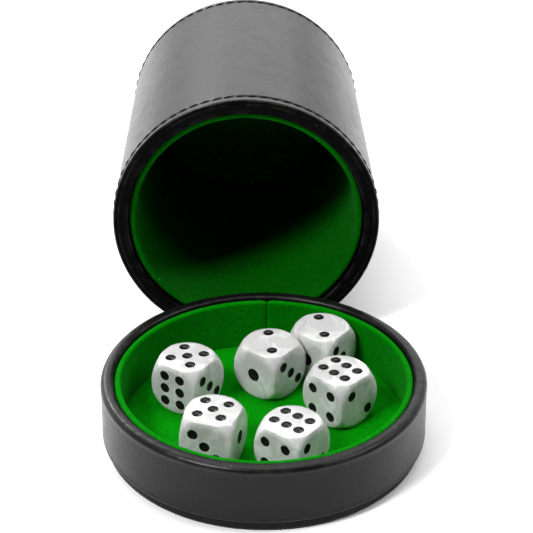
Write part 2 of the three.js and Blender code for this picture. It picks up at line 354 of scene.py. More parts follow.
fibres.links.new(shade, out.inputs["Shade"])

# %% [markdown]
# ### Edge wear and dust
#
# Finish rubs off where an edge sticks out. The lathe stored how sharply each point bends, so
# the group only has to break that up with noise. Dust is a scatter of tiny specks: a Voronoi
# texture gives each cell a random colour, and only a few cells keep a speck in their middle.

# %% Groups: edge wear and dust
wear, given, out = new_group(
    "edge_wear", {"Place": None, "Edge": 0.0, "Patches per metre": 160.0}, ["Mask"])
patches = noise_of(wear, given["Place"], given["Patches per metre"], detail=5.0, roughness=0.65)
worn = math_node(wear, "MULTIPLY", given["Edge"], ramp(wear, patches, 0.42, 0.68), clamp=True)
wear.links.new(worn, out.inputs["Mask"])

dust, given, out = new_group(
    "dust", {"Place": None, "Specks per metre": 420.0, "Share": 0.05}, ["Mask"])
cells = add_node(dust, "ShaderNodeTexVoronoi", feature="F1")
dust.links.new(given["Place"], cells.inputs["Vector"])
dust.links.new(given["Specks per metre"], cells.inputs["Scale"])
lot = add_node(dust, "ShaderNodeSeparateColor")
dust.links.new(cells.outputs["Color"], lot.inputs[0])
drawn = math_node(dust, "LESS_THAN", lot.outputs[0], given["Share"])
speck = ramp(dust, cells.outputs["Distance"], 0.06, 0.16, 1.0, 0.0)
dust.links.new(math_node(dust, "MULTIPLY", drawn, speck), out.inputs["Mask"])
print("shader groups:", [g.name for g in bpy.data.node_groups])


# %% Helpers for materials
def start_material(name, slot):
    """A material with a Principled shader, its tree and a place to sample textures at."""
    made = bpy.data.materials.new(name)
    made.use_nodes = True
    made["slot"] = slot
    tree = made.node_tree
    place = add_node(tree, "ShaderNodeTexCoord").outputs["Object"]
    return made, tree, tree.nodes["Principled BSDF"], place


def use_group(tree, name, place, **values):
    """Puts a shared group in a material and gives its outputs."""
    made = add_node(tree, "ShaderNodeGroup", node_tree=bpy.data.node_groups[name])
    tree.links.new(place, made.inputs["Place"])
    for label, value in values.items():
        socket = made.inputs[label.replace("_", " ")]
        if isinstance(value, bpy.types.NodeSocket):
            tree.links.new(value, socket)
        else:
            socket.default_value = value
    return made.outputs


def blend_colours(tree, mask, low, high):
    """A colour that goes from low to high as the mask goes from 0 to 1."""
    made = add_node(tree, "ShaderNodeMix", data_type="RGBA")
    tree.links.new(mask, made.inputs[0])
    for socket, colour in zip(made.inputs[6:8], (low, high)):
        if isinstance(colour, bpy.types.NodeSocket):
            tree.links.new(colour, socket)
        else:
            socket.default_value = (*colour, 1)
    return made.outputs[2]


def add_bump(tree, shader, height, depth):
    """Bumps the shader's surface: a height of 1 stands depth metres proud."""
    made = add_node(tree, "ShaderNodeBump", Strength=1.0, Distance=depth)
    tree.links.new(height, made.inputs["Height"])
    tree.links.new(made.outputs[0], shader.inputs["Normal"])


# %% [markdown]
# ## Black leather
#
# The cup and lid are covered in black leather with a semi-gloss finish, so it shows soft
# reflections of the room that break up in the grain. Its colour is nearly black, greyer where
# an edge has worn. The shine varies as well: creases are dull, and the tops of pebbles are
# polished by hands. Each piece sets how fine and deep its grain is, how wrinkled, how rough and
# how glossy. The leather that is turned over at the mouth of the cup gets a finish of its own:
# it is duller, and its dye is darkened to paint the shade that lies on the rim and inside the
# mouth.


# %% Leather materials
DEEP_DYE, THIN_DYE = 0.0018, 0.004
SHINE_SPREAD = 0.08


def leather(name, pebbles, wrinkling, depth, rough, gloss, painted_shade_scale=1.0):
    """A black leather. Its roughness varies about rough, and dark scales the dye; below 1 it
    paints shade.
    """
    made, tree, shader, place = start_material(name, "black_leather")
    skin = use_group(tree, "leather_grain", place, Pebbles_per_metre=pebbles,
                     Wrinkling=wrinkling)
    edge = add_node(tree, "ShaderNodeAttribute", attribute_name="edge").outputs["Fac"]
    worn = use_group(tree, "edge_wear", place, Edge=edge)["Mask"]
    specks = use_group(tree, "dust", place, Share=0.035)["Mask"]
    dye = blend_colours(tree, noise_of(tree, place, 60.0), (DEEP_DYE * painted_shade_scale,) * 3,
                        (THIN_DYE * painted_shade_scale,) * 3)
    rubbed = blend_colours(tree, worn, dye, (0.016, 0.015, 0.0145))
    dusty = blend_colours(tree, specks, rubbed, (0.04, 0.04, 0.039))
    tree.links.new(dusty, shader.inputs["Base Color"])
    shine = math_node(tree, "MULTIPLY_ADD", noise_of(tree, place, 140.0), SHINE_SPREAD,
                      rough - SHINE_SPREAD / 2)
    for dull in (skin["Crease"], worn):
        shine = math_node(tree, "MULTIPLY_ADD", dull, SHINE_SPREAD, shine)
    tree.links.new(shine, shader.inputs["Roughness"])
    shader.inputs["Specular IOR Level"].default_value = gloss
    add_bump(tree, shader, skin["Height"], depth)
    return made


wall_leather = leather("leather_wall", 1150.0, 0.5, depth=0.00004, rough=0.3, gloss=0.2)
# The rim leather's darker dye is painted shade, for the rim and the inside of the mouth.
rim_leather_painted_shade = leather("leather_rim_painted_shade", 1500.0, 0.2, depth=0.00003, rough=0.45, gloss=0.025,
                      painted_shade_scale=0.45)
base_leather = leather("leather_base", 900.0, 0.3, depth=0.00006, rough=0.36, gloss=0.15)

# %% [markdown]
# ## Green felt
#
# Felt scatters light in its fibres: it looks flat from the front and glows a little at grazing
# angles, which is what the sheen of the Principled shader is for. The nap gives patches of
# slightly lighter and darker green. The floor is pressed by use, so its fibres are flatter
# than those of the walls. The felt inside the cup is a darker copy of the lid's felt: its
# darkness is painted shade, for the light that reaches only a little way into the cup.


# %% Felt materials
def felt(name, depth, clumping, low, high):
    made, tree, shader, place = start_material(name, "green_felt")
    nap = use_group(tree, "tangled_fibres", place, Clumping=clumping)
    brushed = noise_of(tree, place, 45.0, detail=4.0, distortion=0.6)
    shade = math_node(tree, "MULTIPLY", nap["Shade"], ramp(tree, brushed, 0.25, 0.7, 0.75, 1.0))
    colour = blend_colours(tree, shade, low, high)
    lint = use_group(tree, "dust", place, Share=0.03, Specks_per_metre=520.0)["Mask"]
    tree.links.new(blend_colours(tree, lint, colour, (0.03, 0.3, 0.04)),
                   shader.inputs["Base Color"])
    rough = math_node(tree, "MULTIPLY_ADD", nap["Shade"], -0.08, 0.98)
    tree.links.new(rough, shader.inputs["Roughness"])
    shader.inputs["Specular IOR Level"].default_value = 0.03
    shader.inputs["Sheen Weight"].default_value = 0.08
    shader.inputs["Sheen Roughness"].default_value = 0.5
    shader.inputs["Sheen Tint"].default_value = (0.12, 0.85, 0.16, 1)
    add_bump(tree, shader, nap["Height"], depth)
    return made


felt_wall = felt("felt_wall", 0.00012, 0.6, (0.0, 0.105, 0.0), (0.0, 0.175, 0.0005))
# A darker copy of the felt for the walls inside the cup: painted shade.
felt_cup_painted_shade = felt("felt_cup_painted_shade", 0.00012, 0.6, (0.0, 0.058, 0.0), (0.0, 0.1, 0.0))
felt_floor = felt("felt_floor", 0.00008, 0.4, (0.0, 0.14, 0.0), (0.0, 0.22, 0.0005))

# %% [markdown]
# ## Thread, board and pip paint
#
# Waxed thread is black and slightly shiny, with fine fibres. The grey board inside the cup and
# lid never shows, but it is still given its own finish, so that a section would look right.
# The pips are filled with thick black paint that dried a little uneven.

# %% Small materials
thread_black, tree, shader, place = start_material("waxed_thread", "black_thread")
strands = use_group(tree, "tangled_fibres", place, Fibres_per_metre=5200.0, Clumping=0.2)
tree.links.new(blend_colours(tree, strands["Shade"], (0.0015, 0.0015, 0.0015),
                             (0.007, 0.007, 0.007)), shader.inputs["Base Color"])
shader.inputs["Specular IOR Level"].default_value = 0.12
tree.links.new(math_node(tree, "MULTIPLY_ADD", strands["Shade"], 0.2, 0.5),
               shader.inputs["Roughness"])
add_bump(tree, shader, strands["Height"], 0.00006)

board_grey, tree, shader, place = start_material("pressed_board", "grey_board")
pulp = use_group(tree, "tangled_fibres", place, Fibres_per_metre=1500.0, Clumping=0.8)
tree.links.new(blend_colours(tree, pulp["Shade"], (0.2, 0.18, 0.15), (0.36, 0.33, 0.28)),
               shader.inputs["Base Color"])
tree.links.new(math_node(tree, "MULTIPLY_ADD", pulp["Shade"], 0.15, 0.8),
               shader.inputs["Roughness"])
add_bump(tree, shader, pulp["Height"], 0.00012)

pip_black, tree, shader, place = start_material("pip_paint", "pearl_acrylic")
brushed = noise_of(tree, place, 900.0, detail=2.0)
tree.links.new(blend_colours(tree, brushed, (0.003, 0.003, 0.003), (0.01, 0.01, 0.01)),
               shader.inputs["Base Color"])
tree.links.new(math_node(tree, "MULTIPLY_ADD", brushed, 0.05, 0.02), shader.inputs["Roughness"])
shader.inputs["Specular IOR Level"].default_value = 0.2
add_bump(tree, shader, brushed, 0.00001)

# %% [markdown]
# ## Pearl acrylic
#
# The dice are cast from white and grey pearl pigment that is stirred only a little, so bands of
# grey swirl through the white. A noise is bent by another noise before it is sampled, which
# draws the stirred bands. Each die carries its own offset in the attribute `stir`, so no two
# dice show the same piece of the cast. Light enters the acrylic a little, and a clear polish
# lies on top.

# %% Pearl material
pearl, tree, shader, place = start_material("pearl", "pearl_acrylic")
stir = add_node(tree, "ShaderNodeAttribute", attribute_name="stir").outputs["Vector"]
cast = add_node(tree, "ShaderNodeVectorMath", operation="ADD")
tree.links.new(place, cast.inputs[0])
tree.links.new(stir, cast.inputs[1])
bend = add_node(tree, "ShaderNodeTexNoise", Scale=85.0, Detail=2.0)
tree.links.new(cast.outputs[0], bend.inputs["Vector"])
pull = add_node(tree, "ShaderNodeVectorMath", operation="MULTIPLY_ADD")
pull.inputs[1].default_value = (0.022, 0.022, 0.022)
tree.links.new(bend.outputs["Color"], pull.inputs[0])
tree.links.new(cast.outputs[0], pull.inputs[2])
bands = noise_of(tree, pull.outputs[0], 150.0, detail=4.0, roughness=0.55, distortion=0.8)
vein = ramp(tree, math_node(tree, "ABSOLUTE", math_node(tree, "SUBTRACT", bands, 0.5)),
            0.0, 0.1, 1.0, 0.0)
body = blend_colours(tree, ramp(tree, bands, 0.25, 0.7), (0.42, 0.42, 0.42), (0.62, 0.62, 0.615))
veined = blend_colours(tree, math_node(tree, "MULTIPLY", vein, 0.35), body, (0.42, 0.42, 0.42))
tree.links.new(veined, shader.inputs["Base Color"])
tree.links.new(math_node(tree, "MULTIPLY_ADD", bands, 0.12, 0.12), shader.inputs["Roughness"])
shader.inputs["Subsurface Weight"].default_value = 0.5
shader.inputs["Subsurface Scale"].default_value = 0.004
shader.inputs["Subsurface Radius"].default_value = (1.0, 1.0, 0.9)
shader.inputs["Coat Weight"].default_value = 0.6
shader.inputs["Coat Roughness"].default_value = 0.06
print("materials:", sorted(m.name for m in bpy.data.materials if "slot" in m))


# %% [markdown]
# ## Dressing a piece
#
# Each new piece rides on a body of the frame, replaces the CAD node it stands for, and takes
# its finish from one of the record's material slots. One function does all three.

# %% Dress
def dress(piece, material, body, node):
    piece.data.materials.append(material)
    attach(piece, body)
    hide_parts(node)
    size = Vector(piece.bound_box[6]) - Vector(piece.bound_box[0])
    print(f"{piece.name}: {len(piece.data.vertices)} corners, "
          f"{' x '.join(f'{side / MM:.1f}' for side in size)} mm")


# %% [markdown]
# ## The leather of the cup
#
# One sheet of leather is wrapped round the board, turned over the rim and down inside. The
# outline follows it: up the outside, over the rim and back underneath, so the piece is a real
# thin skin and not a solid. Two rows of stitches pull the leather into a groove, deepest at the
# holes, and the leather sinks a little beside the groove, towards the edge. The rim shows fine
# rings, where the leather was pressed as it was turned, and the faces that are turned over get
# the darker rim leather, whose darkness is painted shade. The sheet's two ends meet in a seam,
# on the side that lies near the table.

# %% Cup: sizes of the stitching
STITCH_PITCH = 3.6
STITCH_LENGTH = 2.75
rows = [mouth_row, base_row]
stitch_counts = [round(2 * math.pi * cup_r(z) / STITCH_PITCH) for z in rows]
print("stitches in each row:", stitch_counts)


# %% Cup: relief of the leather
SEAM_ANGLE, SEAM_DEPTH, SEAM_HALF = math.radians(52), 0.4, 0.45
GROOVE_DEPTH, GROOVE_HALF = 0.16, 0.5
HOLE_DEPTH, HOLE_SPREAD = 0.3, 0.2
HEM_SINK, HEM_EDGE = 0.05, 0.7
PLAIN_EDGE = 0.3


def bell(x, width):
    """1 at the middle, falling to nothing over the width."""
    return math.exp(-((x / width) ** 2))


def cup_relief(angle, r, z):
    """The outside has grooves and holes, the rim is only a little uneven."""
    if r < cup_r(z) - 1.0 or not PLAIN_EDGE < z < wall_end - PLAIN_EDGE:
        return swell(angle, r, z, 2.6) * 0.02 if z < 1.0 else 0.0
    push = 0.05 * swell(angle, r, z, 17) + 0.018 * swell(angle, r, z, 6, seed=40)
    for row, count, outwards in zip(rows, stitch_counts, (-1, 1)):
        from_row = (z - row) * outwards
        hole = (0.5 + 0.5 * math.cos(angle * count)) ** 6
        deep, half = GROOVE_DEPTH + HOLE_DEPTH * hole, GROOVE_HALF + HOLE_SPREAD * hole
        push -= deep * bell(from_row, half)
        if from_row > 0:
            push -= HEM_SINK * (1 - min(from_row / (mouth_row - HEM_EDGE), 1))
    from_seam = (angle - SEAM_ANGLE + math.pi) % (2 * math.pi) - math.pi
    push -= SEAM_DEPTH * bell(from_seam * r, SEAM_HALF)
    return push - 0.02


# %% Cup: outline of the leather
lip_r = radii("cup_wall_leather", cup_place, -1, 3)[0]
lip_end = corners_of("cup_wall_leather", cup_place)
lip_end = lip_end[lip_end[:, 0] < lip_r + 0.2, 1].max()
skin = cup_r(wall_end) - radii("cup_wall_leather", cup_place, wall_end - 0.05)[0]
turn_in = 0.75
FINE, COARSE, FINE_REACH = 0.22, 1.6, 2.5
RIM_ROUND, END_ROUND, END_INSET = 0.5, 1.0, 1.1


def cup_wall_outline():
    rim_r = cup_r(0)
    points = arc(cup_r(wall_end, END_INSET), wall_end - END_INSET, END_ROUND, 90, 0)
    stops = [wall_end - 1.2, base_row - FINE_REACH, mouth_row + FINE_REACH, 0.6]
    for a, b, spacing in zip(stops, stops[1:], (FINE, COARSE, FINE)):
        points += straight((cup_r(a), a), (cup_r(b), b), spacing)
    points += arc(rim_r - RIM_ROUND, RIM_ROUND, RIM_ROUND, 0, -80)
    ring_depths = [0.02, 0.14, 0.2, 0.06, 0.0, 0.0, 0.02, 0.03, 0.05, 0.04, 0.02, 0.03, 0.07]
    ring_radii = np.linspace(rim_r - 0.6, lip_r + 0.75, len(ring_depths))
    points += list(zip(ring_radii, ring_depths))
    points += arc(lip_r + 0.6, 0.65, 0.6, -100, -180)
    points += straight((lip_r, 0.9), (lip_r - cup_taper * lip_end, lip_end), COARSE)
    points += [(lip_r - cup_taper * lip_end, lip_end)]
    points += [(lip_r - cup_taper * lip_end + turn_in, lip_end), (lip_r + turn_in, skin)]
    points += [(rim_r - skin, skin), (cup_r(wall_end, skin), wall_end)]
    return points


# %% Cup: wall leather
TURNS_LEATHER = 504
RIM_INWARD, WALL_INWARD = 0.45, 1.0
cup_leather = revolve("cup_wall_skin", cup_wall_outline(), cup_place, TURNS_LEATHER, cup_relief)
dress(cup_leather, wall_leather, "cup", "cup_wall_leather")
# The faces turned over at the rim and inside take the darker rim leather: painted shade.
cup_leather.data.materials.append(rim_leather_painted_shade)
to_cup = cup_place.inverted()
for face in cup_leather.data.polygons:
    middle = to_cup @ face.center / MM
    inward = cup_r(middle.z) - middle.xy.length
    face.material_index = int(inward > (RIM_INWARD if middle.z < RIM_ROUND else WALL_INWARD))

# %% [markdown]
# ## The stitches
#
# A stitch is a short length of thread that comes up out of one hole and goes down into the
# next. We could bump a dashed line on the leather, but in the light from the side a real stitch
# throws a shadow. So each one is a small bent tube, twisted from two strands: its section is a
# figure that turns as it goes along.


# %% Stitches: one bent, twisted tube each
THREAD_R = 0.27
THREAD_SINK, THREAD_RISE, THREAD_DRIFT = 0.3, 0.28, 0.12
DIVE, DIVE_FROM = 0.35, 0.8
TWIST, STRAND_SWELL, END_THINNING = 2.6, 0.14, 0.35
TUBE_SIDES = 10
TUBE_STATIONS = 13


def stitch_tube(angle, row, count):
    """Rings of points along one stitch. Its ends dive into the leather."""
    half = STITCH_LENGTH / 2 / cup_r(row)
    rings = []
    for k in range(TUBE_STATIONS):
        t = 2 * k / (TUBE_STATIONS - 1) - 1
        at = angle + t * half
        centre_r = cup_r(row) - THREAD_SINK + THREAD_RISE * (1 - abs(t) ** 3)
        centre_r -= DIVE * max(0, abs(t) - DIVE_FROM)
        drift = THREAD_DRIFT * t
        thick = THREAD_R * (1 - END_THINNING * abs(t) ** 4)
        ring = []
        for s in range(TUBE_SIDES):
            a = 2 * math.pi * s / TUBE_SIDES
            strand = thick * (1 + STRAND_SWELL * math.cos(2 * (a - TWIST * t * math.pi)))
            r = centre_r + strand * math.cos(a)
            ring.append((r * math.cos(at), r * math.sin(at), row + drift + strand * math.sin(a)))
        rings.append(ring)
    return rings


def stitch_row(name, row, count):
    verts, faces = [], []
    for i in range(count):
        first = len(verts)
        for ring in stitch_tube((i + 0.5) * 2 * math.pi / count, row, count):
            verts += ring
        for k in range(TUBE_STATIONS - 1):
            for s in range(TUBE_SIDES):
                a, b = first + k * TUBE_SIDES, first + (k + 1) * TUBE_SIDES
                n = (s + 1) % TUBE_SIDES
                faces.append((a + s, a + n, b + n, b + s))
        faces.append(tuple(first + s for s in reversed(range(TUBE_SIDES))))
        end = first + (TUBE_STATIONS - 1) * TUBE_SIDES
        faces.append(tuple(end + s for s in range(TUBE_SIDES)))
    return mesh_object(name, np.array(verts), faces, cup_place)


# %% Stitches: the two rows
for label, row, count in zip(("mouth", "base"), rows, stitch_counts):
    stitches = stitch_row(f"{label}_stitches", row, count)
    dress(stitches, thread_black, "cup", f"cup_{label}_stitching")

# %% [markdown]
# ## The leather of the lid
#
# The lid is covered like the cup, without stitches. Its rim is a soft roll, and as the leather
# is turned inwards it has to gather, so small creases run across the roll. Below, the wall
# ends in a rounded edge just above the base.


# %% Lid: relief of the leather
def lid_relief(angle, r, z):
    if r < lid_r - 3.4 or (r < lid_r - 1.5 and z < lid_high - 1.6):
        return 0.0
    push = 0.03 * swell(angle, r, z, 17) + 0.012 * swell(angle, r, z, 6, seed=70) - 0.03
    on_rim = bell(z - lid_high, 1.6)
    gather = noise.noise(Vector((angle * lid_r / 2.2, r / 5, 3.0)))
    return push + on_rim * (0.045 * gather - 0.03 * abs(gather) - 0.02)


# %% Lid: wall leather
lid_lip_r, _ = radii("lid_wall_leather", lid_place)
lid_lip_end = corners_of("lid_wall_leather", lid_place)
lid_lip_end = lid_lip_end[lid_lip_end[:, 0] < lid_lip_r + 0.1, 1].min()
OUTER_ROLL, INNER_ROLL = 1.75, 0.95


def lid_wall_outline():
    points = arc(lid_r - 0.9, lid_low + 0.9, 0.9, -100, 0)
    under_roll = lid_high - OUTER_ROLL
    points += straight((lid_r - 0.05, lid_low + 1.0), (lid_r - 0.12, under_roll - 0.7), 1.0)
    points += [(lid_r - 0.16, under_roll - 0.5), (lid_r - 0.08, under_roll - 0.2)]
    points += arc(lid_r - OUTER_ROLL, under_roll, OUTER_ROLL, 0, 86, steps=14)
    points += arc(lid_lip_r + INNER_ROLL, lid_high - INNER_ROLL - 0.04, INNER_ROLL, 94, 180)
    points += [(lid_lip_r, lid_lip_end), (lid_lip_r + 0.55, lid_lip_end)]
    points += [(lid_lip_r + 0.55, lid_high - 1.3), (lid_r - OUTER_ROLL, lid_high - 1.3)]
    points += [(lid_r - 1.2, under_roll - 1.0), (lid_r - 1.2, lid_low + 0.1)]
    return points


lid_leather = revolve("lid_wall_skin", lid_wall_outline(), lid_place, TURNS_LEATHER, lid_relief)
dress(lid_leather, wall_leather, "lid", "lid_wall_leather")

# %% [markdown]
# ## The leather bases
#
# Both bases are a disc of board in a shallow pan of leather with a rounded edge. The flat face
# rests on the table, so its grain is coarser and flatter. The same function makes both: the
# lid's pan faces down, and the cup's faces away from the mouth.


# %% Bases
PAN_ROUND = 1.0


def base_pan(name, node, place, face, inward):
    """A shallow pan from its face inwards, measured from the CAD node it replaces."""
    outer = radii(node, place)[1]
    deep = np.ptp(heights(node, place))
    inner = outer - skin

    def height(z):
        return face + inward * z

    points = [(0.0, height(0.0))]
    points += straight((3.0, height(0.0)), (outer - 1.1, height(0.0)), 2.0)
    points += [(r, height(z)) for r, z in arc(outer - PAN_ROUND, PAN_ROUND, PAN_ROUND, -90, 0)]
    points += [(outer, height(deep - 0.4)), (outer - 0.3, height(deep)), (inner, height(deep))]
    points += [(inner, height(skin)), (0.0, height(skin))]

    def relief(angle, r, z):
        from_face = abs(z - face)
        return 0.0 if from_face > deep - 0.2 else 0.05 * swell(angle, r, z, 9) - 0.06

    return revolve(name, points, place, 256, relief)


lid_pan = base_pan("lid_base_skin", "lid_base_leather", lid_place, 0.0, 1)
dress(lid_pan, base_leather, "lid", "lid_base_leather")
cup_end = heights("cup_base_leather", cup_place)[1]
cup_pan = base_pan("cup_base_skin", "cup_base_leather", cup_place, cup_end, -1)
dress(cup_pan, base_leather, "cup", "cup_base_leather")

# %% [markdown]
# ## The felt walls
#
# A strip of felt is bent into a ring and glued in. Its two ends only butt together, so a narrow
# upright gap shows, with edges that have softened. The upper edge of the lid's thick felt is
# rolled over and catches the light.

# %% Felt walls
SLIT = 0.3
ROLL = 0.85


def seam_of(node, place):
    """Angle of the gap between the two ends of a felt wall, from the CAD corners."""
    back = place.inverted()
    local = [back @ v.co for v in frame["nodes"][node].data.vertices]
    angles = np.sort([math.atan2(c.y, c.x) for c in local])
    gaps = np.diff(np.append(angles, angles[0] + 2 * math.pi))
    slit = SLIT / radii(node, place)[1]
    return next(a + g / 2 for a, g in zip(angles, gaps) if 0.5 * slit < g < 1.5 * slit)


def soft_wall(seam_angle, amount, softening):
    """Relief of a felt wall: hand-glued unevenness, and softened edges at the seam."""
    def relief(angle, r, z):
        from_seam = abs((angle - seam_angle + math.pi) % (2 * math.pi) - math.pi) * r
        push = amount * (swell(angle, r, z, 11) + 0.5 * swell(angle, r, z, 3.5, seed=90))
        return push - softening * bell(from_seam, 0.8)
    return relief


def felt_ring(name, node, place, low, high, roll, roll_low, butt):
    """A felt wall between two (inner, outer) radii. The rolled edge is at the low or high end."""
    (low_z, low_in, low_out), (high_z, high_in, high_out) = low, high
    if roll_low:
        rolled = arc(low_in + roll, low_z + roll, roll, 180, 270)
        rolled += arc(low_out - roll, low_z + roll, roll, 270, 360)
        points = rolled + straight((low_out, low_z + 2 * roll), (high_out, high_z), 2.0)
        points += [(high_out, high_z)]
        points += straight((high_in, high_z), (low_in, low_z + 2 * roll), 1.2)
    else:
        points = [(low_in, low_z), (low_out, low_z)]
        points += arc(high_out - roll, high_z - roll, roll, 0, 90)
        points += arc(high_in + roll, high_z - roll, roll, 90, 180)
        points += straight((high_in, high_z - 2 * roll), (low_in, low_z), 1.2)
    seam = seam_of(node, place)
    print(f"{name}: seam at {math.degrees(seam):.1f} degrees")
    return revolve(name, points, place, 360, soft_wall(seam, 0.06, butt * 2), (seam, butt))


def ends_of(node, place):
    """(height, inner, outer radius) at the low end and at the high end of a felt wall."""
    low, high = heights(node, place)
    lowest, highest = (radii(node, place, z - 0.02, z + 0.02) for z in (low, high))
    return (low, *lowest), (high, *highest)


low, high = ends_of("lid_felt_wall", lid_place)
lid_felt_r = radii("lid_felt_wall", lid_place)
lid_felt = felt_ring("lid_wall_felt", "lid_felt_wall", lid_place, low,
                     (high[0], *lid_felt_r), ROLL, roll_low=False, butt=0.22)
dress(lid_felt, felt_wall, "lid", "lid_felt_wall")

low, high = ends_of("cup_felt_wall", cup_place)
felt_mouth = radii("cup_felt_wall", cup_place, low[0], low[0] + 1)
cup_felt = felt_ring("cup_wall_felt", "cup_felt_wall", cup_place, (low[0], *felt_mouth), high,
                     ROLL, roll_low=True, butt=0.1)
# The felt wall inside the cup takes the darker felt, which paints the shade in the cup.
dress(cup_felt, felt_cup_painted_shade, "cup", "cup_felt_wall")

# %% [markdown]
# ## The felt floors
#
# The floors are discs of the same felt. They are glued to the base boards by hand, so they
# are a little uneven, and dice have dented the one in the lid.


# %% Felt floors
def felt_disc(name, node, place, outer, back, front):
    """A disc whose visible face is at the height front."""
    points = [(0.0, back), (outer, back)]
    points += [(outer, front - 0.25 * np.sign(front - back)), (outer - 0.25, front)]
    points += straight((outer - 0.6, front), (1.0, front), 1.4) + [(0.0, front)]

    def relief(angle, r, z):
        return 0.05 * swell(angle, r, z, 8) - 0.03 if abs(z - front) < 0.05 else 0.0

    return revolve(name, points, place, 240, relief)


low, high = heights("lid_felt_floor", lid_place)
lid_floor_r = radii("lid_felt_floor", lid_place, low - 1, low + 0.1)[1]
lid_floor = felt_disc("lid_floor_felt", "lid_felt_floor", lid_place, lid_floor_r, low, high)
dress(lid_floor, felt_floor, "lid", "lid_felt_floor")

low, high = heights("cup_felt_floor", cup_place)
cup_floor_r = radii("cup_felt_floor", cup_place, high - 0.1, high + 1)[1]
cup_floor = felt_disc("cup_floor_felt", "cup_felt_floor", cup_place, cup_floor_r, high, low)
dress(cup_floor, felt_floor, "cup", "cup_felt_floor")

# %% [markdown]
# ## The board inside
#
# The board tube, card, ring and discs are hidden between leather and felt. Their CAD shapes are
# right, so they stay, and only get the board material.

# %% Board
for name, node in frame["nodes"].items():
    if "board" in name or "card" in name:
        node.data.materials.clear()
        node.data.materials.append(board_grey)
        print("board finish on", name)

# %% [markdown]
# ## The dice
#
# A die is a cube that was tumbled: its corners are cut by a ball and its edges are soft. For
# each direction from the middle we take the distance to the cube and the distance to the ball,
# and use a smooth minimum of the two. The pips are drilled with a ball cutter and painted, so
# they are real hollows, cut with a Boolean. Opposite faces add up to seven.

# %% Dice: size and the tumbled cube
die_low, die_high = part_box("die_1")
DIE = (die_high[2] - die_low[2]) / MM
BALL = 1.38 / 2 * DIE
DIE_GRID = 36
BALL_EASE, EDGE_SOFTNESS = 0.2, 1.2


def smooth_min(a, b, softness):
    """The lower of two numbers, blended where they are close."""
    h = np.clip(0.5 + 0.5 * (b - a) / softness, 0, 1)
    return b + (a - b) * h - softness * h * (1 - h)


def tumbled_cube(name):
    work = bmesh.new()
    bmesh.ops.create_cube(work, size=2)
    bmesh.ops.subdivide_edges(work, edges=work.edges, cuts=DIE_GRID, use_grid_fill=True)
    for vert in work.verts:
        on_cube = np.array(vert.co)
        spread = np.tan(on_cube * math.pi / 4)
        way = spread / np.linalg.norm(spread)
        to_cube = DIE / 2 / np.abs(way).max()
        reach = smooth_min(to_cube, BALL + BALL_EASE, EDGE_SOFTNESS)
        point = way * reach
        vert.co = Vector(np.clip(point, -DIE / 2, DIE / 2) * MM)
    mesh = bpy.data.meshes.new(name)
    work.to_mesh(mesh)
    work.free()
    return mesh


# %% Dice: where the pips go
FACING = {1: (-1, 0, 0), 2: (0, 0, -1), 3: (0, 1, 0), 4: (0, -1, 0), 5: (0, 0, 1), 6: (1, 0, 0)}
SPREAD, ROW_REACH, ROW_HALF = 0.222 * DIE, 0.269 * DIE, 0.169 * DIE
PIP_R, ONE_PIP_R, PIP_DEPTH = 0.1 * DIE, 0.131 * DIE, 0.65


def pips_of(number):
    """Pips as (u, v) along the two axes that the face lies along, in order."""
    a = SPREAD
    four = [(a, a), (a, -a), (-a, a), (-a, -a)]
    six = [(side * ROW_HALF, k * ROW_REACH) for k in (-1, 0, 1) for side in (1, -1)]
    return {1: [(0, 0)], 2: four[1:3], 3: [four[0], (0, 0), four[3]], 4: four,
            5: four + [(0, 0)], 6: six}[number]


def pip_balls():
    """Centre and radius of the cutter's ball for every pip."""
    balls = []
    for number, facing in FACING.items():
        r = ONE_PIP_R if number == 1 else PIP_R
        ball = (r * r + PIP_DEPTH**2) / (2 * PIP_DEPTH)
        out_by = DIE / 2 - PIP_DEPTH + ball
        flat = [axis for axis in range(3) if facing[axis] == 0]
        for u, v in pips_of(number):
            centre = np.array(facing, float) * out_by
            centre[flat[0]], centre[flat[1]] = u, v
            balls.append((centre, ball))
    return balls


print(f"die {DIE:.1f} mm, {len(pip_balls())} pips")


# %% Dice: drill and paint the pips
def drilled_die():
    """The finished mesh of one die, with the paint on the faces inside the pips."""
    cube = bpy.data.objects.new("die_blank", tumbled_cube("die_blank"))
    cutter = bmesh.new()
    for centre, ball in pip_balls():
        place = Matrix.Translation(Vector(centre * MM))
        bmesh.ops.create_uvsphere(cutter, u_segments=40, v_segments=30, radius=ball * MM,
                                  matrix=place)
    mesh = bpy.data.meshes.new("pip_cutter")
    cutter.to_mesh(mesh)
    cutter.free()
    drill = bpy.data.objects.new("pip_cutter", mesh)
    for thing in (cube, drill):
        bpy.context.collection.objects.link(thing)
    cut = cube.modifiers.new("pips", "BOOLEAN")
    cut.object, cut.operation, cut.solver = drill, "DIFFERENCE", "EXACT"
    bpy.context.view_layer.update()
    done = bpy.data.meshes.new_from_object(
        cube.evaluated_get(bpy.context.evaluated_depsgraph_get()))
    for thing in (cube, drill):
        bpy.data.objects.remove(thing)
    paint_pips(done)
    return done


def paint_pips(mesh):
    mesh.materials.append(pearl)
    mesh.materials.append(pip_black)
    centres, sizes = zip(*pip_balls())
    for face in mesh.polygons:
        middle = np.array(face.center) / MM
        from_ball = np.linalg.norm(np.array(centres) - middle, axis=1) - np.array(sizes)
        painted = from_ball.min() < 0.02 and np.abs(middle).max() < DIE / 2 - 0.005
        face.material_index = 1 if painted else 0
    mesh.shade_smooth()
    mesh.set_sharp_from_angle(angle=math.radians(24))


die_mesh = drilled_die()
inked = sum(f.material_index for f in die_mesh.polygons)
print(f"die mesh: {len(die_mesh.vertices)} corners, {inked} painted faces")


# %% [markdown]
# ### Where each die lies
#
# The CAD dice were turned before they were packed, so nothing names the face that is up. Their
# pips are real hollows too. First a die is squared up, by the turn about Z that gives it the
# smallest box. Then, of the 24 ways a cube can lie, we take the one that puts the bottoms of our
# pips closest to the hollow corners of the CAD die.

